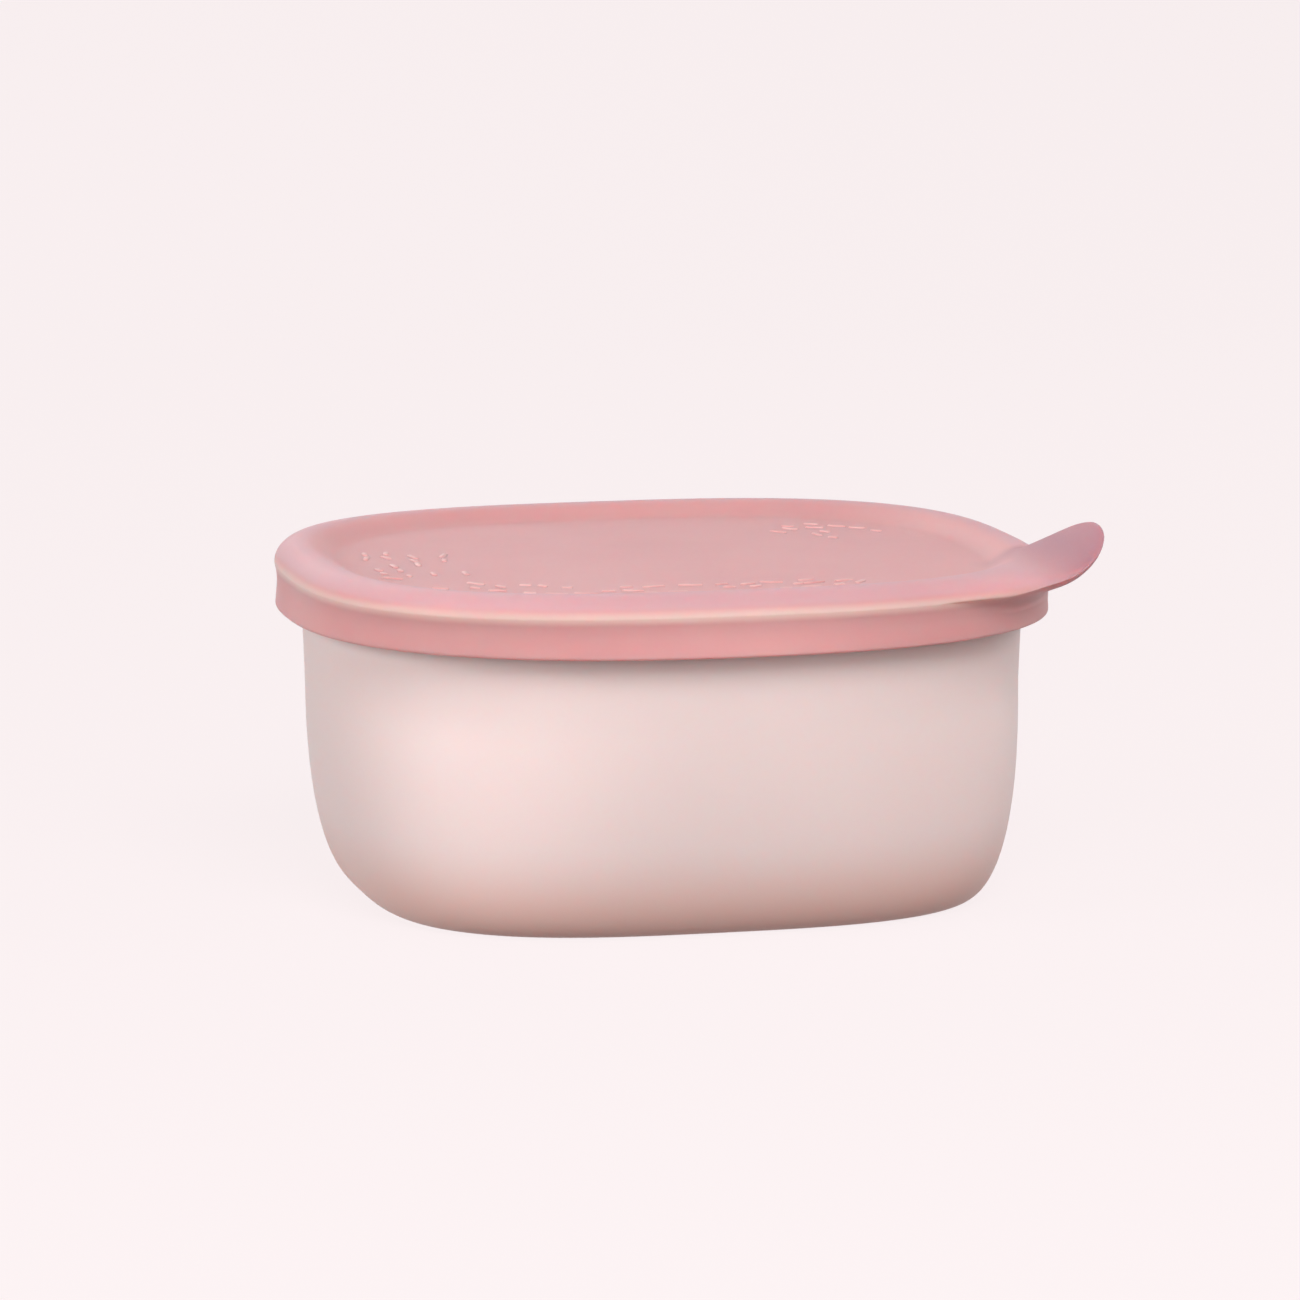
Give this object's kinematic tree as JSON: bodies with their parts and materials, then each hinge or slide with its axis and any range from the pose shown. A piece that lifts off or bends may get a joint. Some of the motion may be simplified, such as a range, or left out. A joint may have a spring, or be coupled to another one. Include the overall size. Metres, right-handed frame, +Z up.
{
  "type": "lidded food storage bowl",
  "caption": "Squarish rigid food bowl with a large round bottom, closed by a soft silicone lid whose corner peels up by a curled pull tab.",
  "frame": {"origin": "centre of the bowl's flat base, on the surface it stands on", "axes": "+Z up, +X along the bowl's longer side, with the pull tab at the +X -Y corner"},
  "size_m": [0.1536, 0.135, 0.0737],
  "materials": {
    "bowl_plastic": "satin moulded plastic, pale pink",
    "lid_silicone": "matte translucent silicone, dusty pink"
  },
  "bodies": {
    "bowl": {"bowl": "bowl_plastic"},
    "lid": {"lid": "lid_silicone"},
    "corner": {"lid_corner": "lid_silicone", "pull_tab": "lid_silicone"}
  },
  "joints": [
    {"name": "lid_lift", "type": "slide", "parent": "bowl", "child": "lid", "axis": [0, 0, 1], "range_m": [0, 0.09]},
    {"name": "corner_peel", "type": "hinge", "parent": "lid", "child": "corner", "pos_m": [0.0426, -0.02983, 0.068], "axis": [-0.5736, -0.8192, 0], "range_deg": [0, 55], "stiffness_Nm_per_rad": 0.1}
  ]
}
